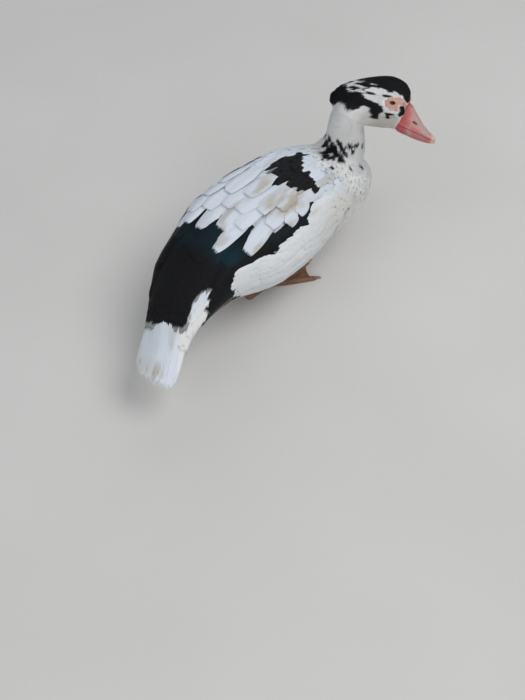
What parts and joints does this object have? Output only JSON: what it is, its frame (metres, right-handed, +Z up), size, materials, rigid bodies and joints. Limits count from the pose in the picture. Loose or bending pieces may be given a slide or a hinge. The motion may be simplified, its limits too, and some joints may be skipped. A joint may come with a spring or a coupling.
{
  "type": "muscovy duck",
  "caption": "Still life-size model of a female muscovy duck, black and white, crouched low on its feet with its neck up and its head turned to its right.",
  "frame": {"origin": "on the floor, under the middle of the box round the whole bird", "axes": "+X from tail to breast, +Y to the bird's left, +Z up"},
  "size_m": [0.437, 0.1988, 0.2247],
  "materials": {
    "white_plumage": "soft matte white feathers, slightly soiled",
    "black_plumage": "black feathers with a faint green gloss",
    "bill": "smooth mottled pink horn",
    "eye": "wet dark brown",
    "leg_skin": "scaly brown-orange skin",
    "claw": "dull horn"
  },
  "bodies": {
    "root": {"bill_upper": "bill", "bill_lower": "bill", "eye_right": "eye", "eye_left": "eye", "head": "white_plumage", "neck": "white_plumage", "trunk": "white_plumage", "tail": "white_plumage", "wing_right": "white_plumage", "wing_left": "white_plumage", "primaries_right": "black_plumage", "primaries_left": "black_plumage", "thigh_right": "white_plumage", "thigh_left": "white_plumage", "shank_right": "leg_skin", "shank_left": "leg_skin", "foot_right": "leg_skin", "foot_left": "leg_skin", "claw_right_inner": "claw", "claw_right_middle": "claw", "claw_right_outer": "claw", "claw_right_hind": "claw", "claw_left_inner": "claw", "claw_left_middle": "claw", "claw_left_outer": "claw", "claw_left_hind": "claw"}
  },
  "joints": []
}
